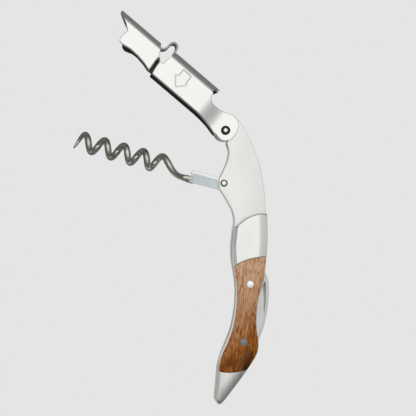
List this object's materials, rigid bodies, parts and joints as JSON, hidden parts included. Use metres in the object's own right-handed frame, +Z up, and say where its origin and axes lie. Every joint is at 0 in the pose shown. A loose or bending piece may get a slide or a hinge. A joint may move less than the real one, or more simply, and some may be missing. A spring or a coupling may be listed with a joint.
{
  "type": "waiters corkscrew",
  "caption": "Folding waiters corkscrew with a two-step lever, wire worm, foil knife and wood-scaled steel handle, lying open.",
  "frame": {"origin": "middle of the open tool's outline, on the surface that it lies on", "axes": "+X across the tool towards the handle's outer side, +Y along the handle towards the lever, +Z up through the tool's thickness, along every hinge pin"},
  "size_m": [0.0814, 0.1622, 0.0124],
  "materials": {
    "side_plate_steel": "bright satin stainless sheet",
    "lever_steel": "bright stamped stainless sheet",
    "bolster_steel": "satin forged stainless",
    "spring_steel": "satin spring steel",
    "rivet_steel": "polished rivet heads",
    "pin_steel": "ground pins",
    "washer_bronze": "plain bronze washers",
    "worm_steel": "polished dark steel wire",
    "tang_steel": "milled steel",
    "blade_steel": "ground blade steel",
    "scale_wood": "oiled reddish-brown hardwood"
  },
  "bodies": {
    "handle": {"front_plate": "side_plate_steel", "rear_plate": "side_plate_steel", "upper_spring": "spring_steel", "knife_spring": "spring_steel", "tip_spacer": "spring_steel", "front_bolster": "bolster_steel", "rear_bolster": "bolster_steel", "front_scale": "scale_wood", "rear_scale": "scale_wood", "front_tip": "bolster_steel", "rear_tip": "bolster_steel", "handle_rivet": "rivet_steel", "knife_pivot_rivet": "rivet_steel", "worm_pivot_rivet": "rivet_steel", "lever_pivot_rivet": "rivet_steel", "bolster_pins": "pin_steel", "tip_pins": "pin_steel", "spring_pin": "pin_steel", "lever_washers": "pin_steel", "worm_washers": "washer_bronze", "knife_washers": "washer_bronze"},
    "lever": {"lever_channel": "lever_steel", "step_spring": "spring_steel", "spring_rivet": "pin_steel"},
    "claw": {"lever_claw": "lever_steel", "claw_rivet": "pin_steel"},
    "worm": {"worm": "worm_steel", "worm_tang": "tang_steel"},
    "knife": {"knife_blade": "blade_steel"}
  },
  "joints": [
    {"name": "lever_fold", "type": "hinge", "parent": "handle", "child": "lever", "pos_m": [0.02205, 0.03225, 0.0062], "axis": [0, 0, 1], "range_deg": [-30, 129]},
    {"name": "claw_swing", "type": "hinge", "parent": "lever", "child": "claw", "pos_m": [0.00013, 0.06622, 0.0062], "axis": [0, 0, 1], "range_deg": [-48, 0], "stiffness_Nm_per_rad": 0.05, "deforming": ["step_spring"]},
    {"name": "worm_fold", "type": "hinge", "parent": "handle", "child": "worm", "pos_m": [0.0216, 0.0104, 0.0062], "axis": [0, 0, 1], "range_deg": [-24, 102]},
    {"name": "knife_fold", "type": "hinge", "parent": "handle", "child": "knife", "pos_m": [0.0294, -0.0553, 0.0062], "axis": [0, 0, 1], "range_deg": [-130, 0]}
  ],
  "couplings": [
    {"joint": "worm_fold", "follows": "lever_fold", "ratio": 0.79}
  ]
}
